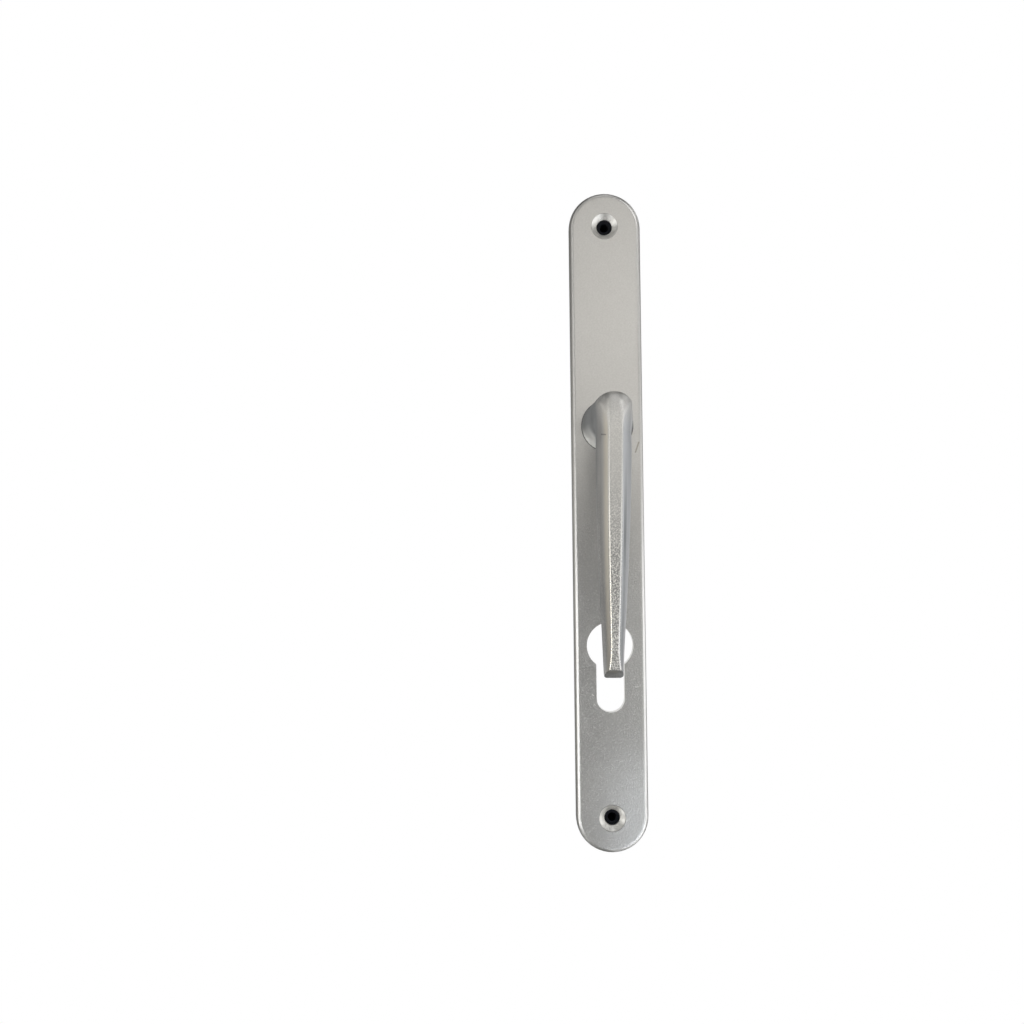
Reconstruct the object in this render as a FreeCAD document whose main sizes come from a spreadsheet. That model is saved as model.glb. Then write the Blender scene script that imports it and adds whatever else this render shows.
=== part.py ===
# Door handle on a narrow backplate: a cast lever that hangs down from its pivot,
# a long plate with two countersunk screw holes and a cut-out for a profile cylinder.
# Frame: millimetres, +Z up, the door lies behind the plane Y = 0, the front looks along -Y.
# The origin is the middle of the plate's back face.
import FreeCAD
import Part
import math
import os

import Sketcher
from FreeCAD import Placement, Rotation, Vector

X_AXIS = Vector(1, 0, 0)
Y_AXIS = Vector(0, 1, 0)

# Driving dimensions, in millimetres and degrees
SIZES = [
    # Plate
    ("plate_length", 255.8),
    ("plate_width", 27.8),
    ("plate_thickness", 5.0),
    ("plate_edge_radius", 1.9),
    ("pivot_height", 36.3),
    # Screw holes
    ("fixing_end_distance", 13.2),
    ("fixing_hole_diameter", 6.1),
    ("countersink_diameter", 10.4),
    # Cylinder cut-out
    ("cylinder_distance", 85.0),
    ("cylinder_diameter", 18.0),
    ("cylinder_slot_width", 10.9),
    ("cylinder_slot_reach", 25.7),
    # Pivot bearing
    ("journal_diameter", 15.0),
    ("running_clearance", 0.05),
    ("bush_wall", 1.0),
    ("bush_flange_diameter", 20.2),
    ("bush_flange_thickness", 0.6),
    ("recess_diameter", 25.0),
    ("recess_depth", 3.0),
    # Retaining stack in the recess behind the plate
    ("washer_diameter", 22.0),
    ("washer_thickness", 0.8),
    ("spring_diameter", 21.0),
    ("spring_height", 0.7),
    ("spring_seat", 1.6),
    ("ring_thickness", 1.0),
    ("ring_width", 2.2),
    ("ring_gap", 4.0),
    ("ring_lug_diameter", 3.6),
    ("ring_lug_hole", 1.6),
    ("groove_depth", 0.45),
    ("groove_clearance", 0.1),
    ("journal_end_land", 1.3),
    # Square spindle and its screw
    ("spindle_width", 8.0),
    ("spindle_reach", 45.0),
    ("spindle_chamfer", 0.8),
    ("spindle_corner", 0.4),
    ("socket_depth", 28.0),
    ("socket_end_gap", 1.0),
    ("grub_diameter", 5.0),
    ("grub_length", 3.0),
    ("grub_distance", 15.0),
    ("grub_key", 2.5),
    ("grub_key_depth", 1.8),
    # Screw dowels
    ("dowel_head_diameter", 9.0),
    ("dowel_head_thickness", 1.5),
    ("dowel_shank_diameter", 7.8),
    ("dowel_length", 16.0),
    ("dowel_slit_margin", 3.0),
    ("dowel_pilot_diameter", 3.4),
    ("dowel_end_wall", 2.0),
    ("dowel_slit_width", 1.0),
    # Lever: neck and elbow
    ("lever_projection", 47.0),
    ("rest_turn", 0.88),
    ("neck_base_diameter", 19.6),
    ("neck_top_diameter", 15.4),
    ("neck_flat", 0.4),
    ("elbow_rise", 8.2),
    ("elbow_inner_radius", 8.0),
    ("elbow_squareness", 7.0),
    # Lever: grip
    ("grip_length", 90.65),
    ("grip_width_top", 12.9),
    ("grip_width_end", 6.75),
    ("grip_side_bow", 1.1),
    ("grip_depth_top", 12.5),
    ("grip_depth_end", 10.5),
    ("face_width_top", 4.1),
    ("face_width_waist", 2.1),
    ("face_width_end", 3.4),
    ("face_side_bow", 0.4),
    ("waist_share", 0.88),
    ("edge_radius", 0.35),
    ("rear_radius_top", 2.0),
    ("rear_radius_end", 0.9),
    ("end_slant", 18.7),
    ("end_corner_radius", 1.0),
    ("end_trim", 0.05),
]

doc = FreeCAD.newDocument("DoorHandle")
sheet = doc.addObject("Spreadsheet::Sheet", "Sizes")
for row, (alias, number) in enumerate(SIZES, start=1):
    sheet.set(f"A{row}", alias)
    sheet.set(f"B{row}", str(number))
    sheet.setAlias(f"B{row}", alias)
doc.recompute()


def size(expression):
    """The number that an expression on the sheet gives, without its unit."""
    answer = sheet.evalExpression(expression)
    return float(getattr(answer, "Value", answer))


def bind(thing, path, expression):
    """Ties one property or sketch dimension to an expression on the sheet."""
    thing.setExpression(path, expression)


def new_body(label, height="0", turned=False):
    """An empty body at its height on the plate, turned with the lever where it rides on it."""
    body = doc.addObject("PartDesign::Body", label)
    body.Label = label
    turn = size("Sizes.rest_turn") if turned else 0.0
    body.Placement = Placement(Vector(0, 0, size(height)), Rotation(Y_AXIS, turn))
    bind(body, "Placement.Base.z", height)
    if turned:
        bind(body, "Placement.Rotation.Angle", "Sizes.rest_turn")
    return body


def new_sketch(body, name, plane, offset=None):
    """A sketch on one of the body's own planes, moved off it by an expression."""
    sketch = body.newObject("Sketcher::SketchObject", name)
    face = next(o for o in body.Origin.OriginFeatures if o.Role == plane)
    sketch.AttachmentSupport = [(face, "")]
    sketch.MapMode = "FlatFace"
    if offset:
        bind(sketch, "AttachmentOffset.Base.z", offset)
    return sketch


def dimension(sketch, name, kind, *ends, expression):
    """Adds a named dimension whose value is an expression on the sheet."""
    index = sketch.addConstraint(Sketcher.Constraint(kind, *ends, size(expression)))
    sketch.renameConstraint(index, name)
    bind(sketch, f"Constraints.{name}", expression)


def add_circle(sketch, name, diameter, height="0"):
    """A circle on the sketch's upright axis, at a height above its origin."""
    middle = Vector(0, size(height), 0)
    circle = sketch.addGeometry(Part.Circle(middle, Vector(0, 0, 1), size(diameter) / 2))
    sketch.addConstraint(Sketcher.Constraint("PointOnObject", circle, 3, -2))
    dimension(sketch, f"{name}_height", "DistanceY", -1, 1, circle, 3, expression=height)
    dimension(sketch, f"{name}_diameter", "Diameter", circle, expression=diameter)
    return circle


def add_polygon(sketch, corners):
    """A closed outline of straight sides; each corner is a pair of expressions."""
    points = [Vector(size(across), size(up), 0) for across, up in corners]
    count = len(points)
    sides = [
        sketch.addGeometry(Part.LineSegment(points[i], points[(i + 1) % count]))
        for i in range(count)
    ]
    for i, side in enumerate(sides):
        sketch.addConstraint(Sketcher.Constraint("Coincident", side, 2, sides[(i + 1) % count], 1))
    for i, (across, up) in enumerate(corners):
        dimension(sketch, f"across_{i}", "DistanceX", -1, 1, sides[i], 1, expression=across)
        dimension(sketch, f"up_{i}", "DistanceY", -1, 1, sides[i], 1, expression=up)
    return sides


def add_rectangle(sketch, width, height):
    """A rectangle centred on the sketch's origin."""
    across, up = f"({width}) / 2", f"({height}) / 2"
    corners = [(f"-{across}", f"-{up}"), (across, f"-{up}"), (across, up), (f"-{across}", up)]
    return add_polygon(sketch, corners)


def pad(body, sketch, length, name, towards_door=False):
    """Adds material from a sketch, along -Y or towards the door."""
    feature = body.newObject("PartDesign::Pad", name)
    feature.Profile = sketch
    feature.Reversed = towards_door
    bind(feature, "Length", length)
    doc.recompute()
    return feature


def pocket(body, sketch, length, name, towards_front=True, both_ways=False):
    """Cuts material from a sketch and makes sure that the cut did remove some."""
    before = body.Shape.Volume
    feature = body.newObject("PartDesign::Pocket", name)
    feature.Profile = sketch
    feature.Reversed = towards_front
    feature.Midplane = both_ways
    bind(feature, "Length", length)
    doc.recompute()
    if body.Shape.Volume > before - 1e-6:
        raise ValueError(f"{name} cuts nothing from {body.Label}")
    return feature


def revolve(body, sketch, name):
    """Turns a sketch of the YZ plane once round the pivot line."""
    feature = body.newObject("PartDesign::Revolution", name)
    feature.Profile = sketch
    feature.ReferenceAxis = (sketch, ["H_Axis"])
    feature.Angle = 360.0
    doc.recompute()
    return feature


def edges_where(shape, test):
    """Names of the shape's edges whose box passes the test."""
    return [f"Edge{i}" for i, edge in enumerate(shape.Edges, start=1) if test(edge.BoundBox)]


def dress(body, kind, base, edges, amount_name, amount):
    """A fillet or chamfer on named edges of the last feature."""
    feature = body.newObject(f"PartDesign::{kind}", f"{kind}{len(body.Group)}")
    feature.Base = (base, edges)
    bind(feature, amount_name, amount)
    doc.recompute()
    return feature


# Backplate: a solid aluminium bar with round ends and a softened front edge

plate = new_body("backplate")
outline = new_sketch(plate, "PlateOutline", "XZ_Plane")
half_width = size("Sizes.plate_width / 2")
end_centre = size("(Sizes.plate_length - Sizes.plate_width) / 2")
UP = Vector(0, 0, 1)
top_arc = outline.addGeometry(
    Part.ArcOfCircle(Part.Circle(Vector(0, end_centre, 0), UP, half_width), 0, math.pi)
)
bottom_arc = outline.addGeometry(
    Part.ArcOfCircle(
        Part.Circle(Vector(0, -end_centre, 0), UP, half_width), math.pi, 2 * math.pi
    )
)
left_side = outline.addGeometry(
    Part.LineSegment(Vector(-half_width, end_centre, 0), Vector(-half_width, -end_centre, 0))
)
right_side = outline.addGeometry(
    Part.LineSegment(Vector(half_width, -end_centre, 0), Vector(half_width, end_centre, 0))
)
for first, second in (
    (top_arc, left_side), (left_side, bottom_arc), (bottom_arc, right_side), (right_side, top_arc)
):
    outline.addConstraint(Sketcher.Constraint("Tangent", first, 2, second, 1))
outline.addConstraint(Sketcher.Constraint("Symmetric", top_arc, 3, bottom_arc, 3, -1, 1))
outline.addConstraint(Sketcher.Constraint("PointOnObject", top_arc, 3, -2))
dimension(outline, "end_radius", "Radius", top_arc, expression="Sizes.plate_width / 2")
dimension(
    outline, "end_spacing", "DistanceY", bottom_arc, 3, top_arc, 3,
    expression="Sizes.plate_length - Sizes.plate_width",
)
slab = pad(plate, outline, "Sizes.plate_thickness", "Slab")
front = -size("Sizes.plate_thickness")
rim = edges_where(slab.Shape, lambda box: abs(box.YMin - front) < 1e-6 and abs(box.YMax - front) < 1e-6)
dress(plate, "Fillet", slab, rim, "Radius", "Sizes.plate_edge_radius")

FIXING_HEIGHT = "(Sizes.plate_length / 2 - Sizes.fixing_end_distance)"
holes = new_sketch(plate, "FixingHoles", "XZ_Plane", "Sizes.plate_thickness")
add_circle(holes, "upper", "Sizes.fixing_hole_diameter", FIXING_HEIGHT)
add_circle(holes, "lower", "Sizes.fixing_hole_diameter", f"-{FIXING_HEIGHT}")
drilled = pocket(plate, holes, "Sizes.plate_thickness", "FixingDrill", towards_front=False)
hole_rim = edges_where(
    drilled.Shape,
    lambda box: abs(box.YMax - front) < 1e-6
    and abs(box.XLength - size("Sizes.fixing_hole_diameter")) < 1e-3,
)
dress(
    plate, "Chamfer", drilled, hole_rim, "Size",
    "(Sizes.countersink_diameter - Sizes.fixing_hole_diameter) / 2",
)

DOWEL_SEAT = "Sizes.dowel_head_diameter + 2 * Sizes.running_clearance"
seats = new_sketch(plate, "DowelSeats", "XZ_Plane")
add_circle(seats, "upper", DOWEL_SEAT, FIXING_HEIGHT)
add_circle(seats, "lower", DOWEL_SEAT, f"-{FIXING_HEIGHT}")
pocket(plate, seats, "Sizes.dowel_head_thickness", "DowelSeatCut")

BUSH_OUTER = "(Sizes.journal_diameter + 2 * Sizes.running_clearance + 2 * Sizes.bush_wall)"
bearing = new_sketch(plate, "BearingBore", "XZ_Plane", "Sizes.plate_thickness")
add_circle(bearing, "bore", BUSH_OUTER, "Sizes.pivot_height")
pocket(plate, bearing, "Sizes.plate_thickness", "BearingCut", towards_front=False)

recess = new_sketch(plate, "BearingRecess", "XZ_Plane")
add_circle(recess, "recess", "Sizes.recess_diameter", "Sizes.pivot_height")
pocket(plate, recess, "Sizes.recess_depth", "RecessCut")

CYLINDER_HEIGHT = "(Sizes.pivot_height - Sizes.cylinder_distance)"
barrel = new_sketch(plate, "CylinderBarrel", "XZ_Plane", "Sizes.plate_thickness")
add_circle(barrel, "barrel", "Sizes.cylinder_diameter", CYLINDER_HEIGHT)
pocket(plate, barrel, "Sizes.plate_thickness", "BarrelCut", towards_front=False)

slot = new_sketch(plate, "CylinderSlot", "XZ_Plane", "Sizes.plate_thickness")
slot_half = size("Sizes.cylinder_slot_width / 2")
slot_top = size(CYLINDER_HEIGHT)
slot_low = slot_top - size("Sizes.cylinder_slot_reach") + slot_half
round_end = slot.addGeometry(
    Part.ArcOfCircle(
        Part.Circle(Vector(0, slot_low, 0), UP, slot_half), math.pi, 2 * math.pi
    )
)
slot_right = slot.addGeometry(
    Part.LineSegment(Vector(slot_half, slot_low, 0), Vector(slot_half, slot_top, 0))
)
slot_roof = slot.addGeometry(
    Part.LineSegment(Vector(slot_half, slot_top, 0), Vector(-slot_half, slot_top, 0))
)
slot_left = slot.addGeometry(
    Part.LineSegment(Vector(-slot_half, slot_top, 0), Vector(-slot_half, slot_low, 0))
)
slot.addConstraint(Sketcher.Constraint("Tangent", round_end, 2, slot_right, 1))
slot.addConstraint(Sketcher.Constraint("Coincident", slot_right, 2, slot_roof, 1))
slot.addConstraint(Sketcher.Constraint("Coincident", slot_roof, 2, slot_left, 1))
slot.addConstraint(Sketcher.Constraint("Tangent", slot_left, 2, round_end, 1))
slot.addConstraint(Sketcher.Constraint("Horizontal", slot_roof))
slot.addConstraint(Sketcher.Constraint("PointOnObject", round_end, 3, -2))
dimension(slot, "roof", "DistanceY", -1, 1, slot_roof, 1, expression=CYLINDER_HEIGHT)
dimension(slot, "end_radius", "Radius", round_end, expression="Sizes.cylinder_slot_width / 2")
dimension(
    slot, "reach", "DistanceY", round_end, 3, slot_roof, 1,
    expression="Sizes.cylinder_slot_reach - Sizes.cylinder_slot_width / 2",
)
pocket(plate, slot, "Sizes.plate_thickness", "SlotCut", towards_front=False)

# Bearing bush: a flanged nylon ring pressed in the plate; its flange shows as a thin dark line

BUSH_INNER = "(Sizes.journal_diameter / 2 + Sizes.running_clearance)"
NECK_FOOT = "-(Sizes.plate_thickness + Sizes.bush_flange_thickness)"
bush = new_body("neck_bush", "Sizes.pivot_height")
bush_profile = new_sketch(bush, "BushProfile", "YZ_Plane")
add_polygon(
    bush_profile,
    [
        (NECK_FOOT, BUSH_INNER),
        ("-Sizes.recess_depth", BUSH_INNER),
        ("-Sizes.recess_depth", f"{BUSH_OUTER} / 2"),
        ("-Sizes.plate_thickness", f"{BUSH_OUTER} / 2"),
        ("-Sizes.plate_thickness", "Sizes.bush_flange_diameter / 2"),
        (NECK_FOOT, "Sizes.bush_flange_diameter / 2"),
    ],
)
revolve(bush, bush_profile, "BushRing")

# Lever: one casting, made of sections along the neck, round the elbow and down the grip


def wedge_section(body, name, seat, face, wide, front_reach, depth, front_radius, rear_radius):
    """One section: a narrow flat face in front, straight flanks and a broader rounded rear.

    seat holds the sketch's place as expressions: its Y and Z and its turn about X.
    In the sketch, up is towards the door, and the face lies at minus front_reach.
    """
    sketch = body.newObject("Sketcher::SketchObject", name)
    base = next(o for o in body.Origin.OriginFeatures if o.Role == "XY_Plane")
    sketch.AttachmentSupport = [(base, "")]
    sketch.MapMode = "FlatFace"
    place_y, place_z, turn = seat
    sketch.AttachmentOffset = Placement(
        Vector(0, size(place_y), size(place_z)), Rotation(X_AXIS, size(turn))
    )
    bind(sketch, "AttachmentOffset.Base.y", place_y)
    bind(sketch, "AttachmentOffset.Base.z", place_z)

    half_face = size(face) / 2
    edge, corner = size(front_radius), size(rear_radius)
    face_level = -size(front_reach)
    rear_level = face_level + size(depth)
    edge_centre = Vector(half_face, face_level + edge, 0)
    corner_centre = Vector(size(wide) / 2 - corner, rear_level - corner, 0)
    between = corner_centre - edge_centre
    lean = (edge - corner) / between.Length
    along = between / between.Length
    sideways = Vector(along.y, -along.x, 0)
    outward = along * lean + sideways * (1 - lean**2) ** 0.5
    angle = FreeCAD.Vector(1, 0, 0).getAngle(outward) * (1 if outward.y > 0 else -1)
    quarter = math.pi / 2

    def mirrored(point):
        return Vector(-point.x, point.y, 0)

    edge_end = edge_centre + outward * edge
    corner_start = corner_centre + outward * corner
    face_right = Vector(half_face, face_level, 0)
    rear_right = Vector(corner_centre.x, rear_level, 0)

    def arc(centre, radius, start, end):
        return Part.ArcOfCircle(Part.Circle(centre, UP, radius), start, end)

    pieces = [
        Part.LineSegment(mirrored(face_right), face_right),
        arc(edge_centre, edge, -quarter, angle),
        Part.LineSegment(edge_end, corner_start),
        arc(corner_centre, corner, angle, quarter),
        Part.LineSegment(rear_right, mirrored(rear_right)),
        arc(mirrored(corner_centre), corner, quarter, 2 * quarter - angle),
        Part.LineSegment(mirrored(corner_start), mirrored(edge_end)),
        arc(mirrored(edge_centre), edge, 2 * quarter - angle, 3 * quarter),
    ]
    sketch.addGeometry(pieces)
    for i in range(len(pieces)):
        sketch.addConstraint(Sketcher.Constraint("Tangent", i, 2, (i + 1) % len(pieces), 1))
    sketch.addConstraint(Sketcher.Constraint("Symmetric", 0, 1, 0, 2, -2))
    sketch.addConstraint(Sketcher.Constraint("Symmetric", 4, 1, 4, 2, -2))
    sketch.addConstraint(Sketcher.Constraint("Equal", 1, 7))
    sketch.addConstraint(Sketcher.Constraint("Equal", 3, 5))
    dimension(sketch, "front_radius", "Radius", 1, expression=front_radius)
    dimension(sketch, "rear_radius", "Radius", 3, expression=rear_radius)
    dimension(sketch, "face", "DistanceX", 0, 1, 0, 2, expression=face)
    dimension(sketch, "centres", "DistanceX", 5, 3, 3, 3, expression=f"({wide}) - 2 * ({rear_radius})")
    dimension(sketch, "reach", "DistanceY", -1, 1, 0, 1, expression=f"-({front_reach})")
    dimension(sketch, "depth", "DistanceY", 0, 1, 4, 2, expression=depth)
    return sketch


lever = new_body("lever", "Sizes.pivot_height", turned=True)

# Neck: a round cone from its foot to the elbow, but for four narrow flats
GRIP_BACK = "(Sizes.grip_depth_top - Sizes.plate_thickness - Sizes.lever_projection)"
BEND_Y = f"({GRIP_BACK} + Sizes.elbow_inner_radius)"
BEND_Z = "(-Sizes.neck_top_diameter / 2 - Sizes.elbow_inner_radius)"


def round_section(name, level, diameter):
    """A section across the neck, level with a plane of the door."""
    quadrant = f"(({diameter} - Sizes.neck_flat) / 2)"
    return wedge_section(
        lever, name, (level, "0", "-90"), "Sizes.neck_flat", diameter,
        f"{diameter} / 2", diameter, quadrant, quadrant,
    )


sections = [
    round_section("NeckFoot", NECK_FOOT, "Sizes.neck_base_diameter"),
    round_section("NeckEnd", BEND_Y, "Sizes.neck_top_diameter"),
]

# Elbow: sections that swing round the bend's centre and reach out to a rounded corner
FRONT_OUT = "(Sizes.grip_depth_top + Sizes.elbow_inner_radius)"
TOP_OUT = f"(Sizes.elbow_rise - {BEND_Z})"
ELBOW_TURNS = (82, 67, 56, 48, 40, 30)
CRISP_TURN, ROUND_TURN = 28.0, 70.0


def blend(start, end, share):
    """A size that lies a share of the way from start to end."""
    return f"({start} + ({end} - {start}) * {share:.4f})"


for turn in ELBOW_TURNS:
    across = f"(sin({turn}) / {TOP_OUT}) ^ Sizes.elbow_squareness"
    along = f"(cos({turn}) / {FRONT_OUT}) ^ Sizes.elbow_squareness"
    out = f"(({across} + {along}) ^ (-1 / Sizes.elbow_squareness))"
    # The grip's sharp front edges fade into the round neck between two turns of the elbow
    fade = min(max((turn - CRISP_TURN) / (ROUND_TURN - CRISP_TURN), 0), 1)
    fade = fade * fade * (3 - 2 * fade)
    share = turn / 90
    breadth = blend("Sizes.grip_width_top", "Sizes.neck_top_diameter", share**6)
    full_round = f"(({breadth} - Sizes.neck_flat) / 2)"
    sections.append(
        wedge_section(
            lever, f"Elbow{turn}", (BEND_Y, BEND_Z, f"-{turn}"),
            blend("Sizes.face_width_top", "Sizes.neck_flat", fade), breadth,
            out, f"{out} - Sizes.elbow_inner_radius",
            blend("Sizes.edge_radius", full_round, fade),
            blend("Sizes.rear_radius_top", full_round, share),
        )
    )

# Grip: it narrows on a bowed line, and its face widens again at the end
GRIP_FRONT = "(Sizes.plate_thickness + Sizes.lever_projection)"
GRIP_SHARES = (0, 0.3, 0.6, 0.86)


def taper(top, end, share, bow="0"):
    """A size part of the way from top to end, with the bow that it has between."""
    return f"({blend(top, end, share)} + {4 * share * (1 - share):.4f} * {bow})"


def face_width(share):
    """The face narrows to its waist and flares from there to the end."""
    waist = size("Sizes.waist_share")
    if share <= waist:
        return taper("Sizes.face_width_top", "Sizes.face_width_waist", share / waist, "Sizes.face_side_bow")
    flare = ((share - waist) / (1 - waist)) ** 2
    return blend("Sizes.face_width_waist", "Sizes.face_width_end", flare)


START_Z = f"(-{BEND_Z})"
for step, share in enumerate(GRIP_SHARES):
    drop = f"({START_Z} + {share} * (Sizes.grip_length - {START_Z}))"
    sections.append(
        wedge_section(
            lever, f"Grip{step}", ("0", f"-{drop}", "0"), face_width(share),
            taper("Sizes.grip_width_top", "Sizes.grip_width_end", share, "Sizes.grip_side_bow"),
            GRIP_FRONT, taper("Sizes.grip_depth_top", "Sizes.grip_depth_end", share),
            "Sizes.edge_radius",
            taper("Sizes.rear_radius_top", "Sizes.rear_radius_end", share),
        )
    )
sections.append(
    wedge_section(
        lever, "GripEnd", (f"-{GRIP_FRONT}", "-Sizes.grip_length", "-Sizes.end_slant"),
        "Sizes.face_width_end", "Sizes.grip_width_end", "0",
        "Sizes.grip_depth_end / cos(Sizes.end_slant)", "Sizes.edge_radius", "Sizes.rear_radius_end",
    )
)
doc.recompute()
casting = lever.newObject("PartDesign::AdditiveLoft", "Casting")
casting.Profile = sections[0]
casting.Sections = sections[1:]
casting.Ruled = True
doc.recompute()

# The end's rear corners are rounded off in the front view
END_LEVEL = (
    "(Sizes.end_trim - Sizes.grip_length - Sizes.grip_depth_end * tan(Sizes.end_slant))"
)
END_HALF = "Sizes.grip_width_end / 2"
CORNER_TOP = f"({END_LEVEL} + Sizes.end_corner_radius)"
corners_cut = new_sketch(lever, "EndCorners", "XZ_Plane")
half_end, corner_radius = size(END_HALF), size("Sizes.end_corner_radius")
end_level, corner_top = size(END_LEVEL), size(CORNER_TOP)
outer, under = size("Sizes.grip_width_end"), size(f"{END_LEVEL} - Sizes.grip_width_end")
flat_half = half_end - corner_radius
left_round = corners_cut.addGeometry(
    Part.ArcOfCircle(
        Part.Circle(Vector(-flat_half, corner_top, 0), UP, corner_radius), math.pi, 1.5 * math.pi
    )
)
end_line = corners_cut.addGeometry(
    Part.LineSegment(Vector(-flat_half, end_level, 0), Vector(flat_half, end_level, 0))
)
right_round = corners_cut.addGeometry(
    Part.ArcOfCircle(
        Part.Circle(Vector(flat_half, corner_top, 0), UP, corner_radius), 1.5 * math.pi, 2 * math.pi
    )
)
loop = [
    Vector(half_end, corner_top, 0),
    Vector(outer, corner_top, 0),
    Vector(outer, under, 0),
    Vector(-outer, under, 0),
    Vector(-outer, corner_top, 0),
    Vector(-half_end, corner_top, 0),
]
frame_lines = [
    corners_cut.addGeometry(Part.LineSegment(loop[i], loop[i + 1])) for i in range(len(loop) - 1)
]
chain = [left_round, end_line, right_round] + frame_lines
for first, second in zip(chain, chain[1:] + chain[:1]):
    kind = "Tangent" if end_line in (first, second) else "Coincident"
    corners_cut.addConstraint(Sketcher.Constraint(kind, first, 2, second, 1))
for line in (frame_lines[0], frame_lines[4]):
    corners_cut.addConstraint(Sketcher.Constraint("Horizontal", line))
for line in (frame_lines[1], frame_lines[3]):
    corners_cut.addConstraint(Sketcher.Constraint("Vertical", line))
corners_cut.addConstraint(Sketcher.Constraint("Symmetric", frame_lines[2], 1, frame_lines[2], 2, -2))
corners_cut.addConstraint(Sketcher.Constraint("Symmetric", left_round, 3, right_round, 3, -2))
corners_cut.addConstraint(Sketcher.Constraint("Equal", left_round, right_round))
dimension(corners_cut, "radius", "Radius", left_round, expression="Sizes.end_corner_radius")
dimension(
    corners_cut, "flat", "DistanceX", end_line, 1, end_line, 2,
    expression=f"2 * ({END_HALF} - Sizes.end_corner_radius)",
)
dimension(corners_cut, "level", "DistanceY", -1, 1, end_line, 1, expression=END_LEVEL)
dimension(
    corners_cut, "side", "DistanceX", frame_lines[2], 2, frame_lines[2], 1,
    expression="2 * Sizes.grip_width_end",
)
dimension(
    corners_cut, "under", "DistanceY", frame_lines[2], 1, end_line, 1,
    expression="Sizes.grip_width_end",
)
pocket(lever, corners_cut, f"{GRIP_FRONT} + Sizes.grip_width_end", "EndCornerCut")

RING_BACK = (
    "(Sizes.recess_depth - Sizes.washer_thickness - Sizes.spring_height - Sizes.ring_thickness)"
)
GROOVE_RADIUS = "(Sizes.journal_diameter / 2 - Sizes.groove_depth)"
GROOVE_BACK = f"(Sizes.groove_clearance - {RING_BACK})"
JOURNAL_END = f"({GROOVE_BACK} + Sizes.journal_end_land)"
JOURNAL_RADIUS = "Sizes.journal_diameter / 2"

# The lever's journal runs through the bush; its groove takes the retaining ring
journal = new_sketch(lever, "JournalProfile", "YZ_Plane")
inside_neck = f"({NECK_FOOT} - 2 * Sizes.bush_wall)"
add_polygon(
    journal,
    [
        (inside_neck, "0"),
        (JOURNAL_END, "0"),
        (JOURNAL_END, JOURNAL_RADIUS),
        (GROOVE_BACK, JOURNAL_RADIUS),
        (GROOVE_BACK, GROOVE_RADIUS),
        (f"-{RING_BACK} - Sizes.ring_thickness", GROOVE_RADIUS),
        (f"-{RING_BACK} - Sizes.ring_thickness", JOURNAL_RADIUS),
        (inside_neck, JOURNAL_RADIUS),
    ],
)
revolve(lever, journal, "Journal")

socket = new_sketch(lever, "SpindleSocket", "XZ_Plane", f"-{JOURNAL_END}")
SOCKET_WIDTH = "Sizes.spindle_width + 2 * Sizes.running_clearance"
add_rectangle(socket, SOCKET_WIDTH, SOCKET_WIDTH)
pocket(lever, socket, "Sizes.socket_depth", "SocketCut")

GRUB_Y = f"({NECK_FOOT} - Sizes.grub_distance)"
grub_hole = lever.newObject("Sketcher::SketchObject", "GrubHole")


def place_under_neck(sketch, body):
    """Lays a sketch in the body's level plane, with its origin on the grub screw's line."""
    level = next(o for o in body.Origin.OriginFeatures if o.Role == "XY_Plane")
    sketch.AttachmentSupport = [(level, "")]
    sketch.MapMode = "FlatFace"
    bind(sketch, "AttachmentOffset.Base.y", GRUB_Y)


place_under_neck(grub_hole, lever)
add_circle(grub_hole, "thread", "Sizes.grub_diameter")
pocket(lever, grub_hole, "Sizes.neck_base_diameter", "GrubCut", towards_front=False)

# Thrust washer: it lies on the floor of the recess and stays with the plate

washer = new_body("thrust_washer", "Sizes.pivot_height")
washer_profile = new_sketch(washer, "WasherProfile", "YZ_Plane")
WASHER_BACK = "(Sizes.washer_thickness - Sizes.recess_depth)"
add_polygon(
    washer_profile,
    [
        ("-Sizes.recess_depth", BUSH_INNER),
        (WASHER_BACK, BUSH_INNER),
        (WASHER_BACK, "Sizes.washer_diameter / 2"),
        ("-Sizes.recess_depth", "Sizes.washer_diameter / 2"),
    ],
)
revolve(washer, washer_profile, "WasherRing")

# Spring washer: a shallow cone between the thrust washer and the retaining ring

spring = new_body("spring_washer", "Sizes.pivot_height", turned=True)
spring_profile = new_sketch(spring, "SpringProfile", "YZ_Plane")
SPRING_BACK = f"(-{RING_BACK} - Sizes.ring_thickness)"
add_polygon(
    spring_profile,
    [
        (WASHER_BACK, "Sizes.spring_diameter / 2 - Sizes.spring_seat"),
        (WASHER_BACK, "Sizes.spring_diameter / 2"),
        (SPRING_BACK, f"{BUSH_INNER} + Sizes.spring_seat"),
        (SPRING_BACK, BUSH_INNER),
    ],
)
revolve(spring, spring_profile, "SpringCone")

# Retaining ring: an open ring with two drilled lugs, in the journal's groove

ring = new_body("retaining_ring", "Sizes.pivot_height", turned=True)
RING_INNER = f"({GROOVE_RADIUS} + Sizes.running_clearance)"
RING_OUTER = f"({RING_INNER} + Sizes.ring_width)"
ring_disc = new_sketch(ring, "RingDisc", "XZ_Plane", RING_BACK)
add_circle(ring_disc, "outer", f"2 * {RING_OUTER}")
add_circle(ring_disc, "inner", f"2 * {RING_INNER}")
pad(ring, ring_disc, "Sizes.ring_thickness", "RingBand")
LUG_ACROSS = "(Sizes.ring_gap + Sizes.ring_lug_diameter) / 2"
LUG_UP = f"sqrt({RING_OUTER} ^ 2 - ({LUG_ACROSS}) ^ 2)"


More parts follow.
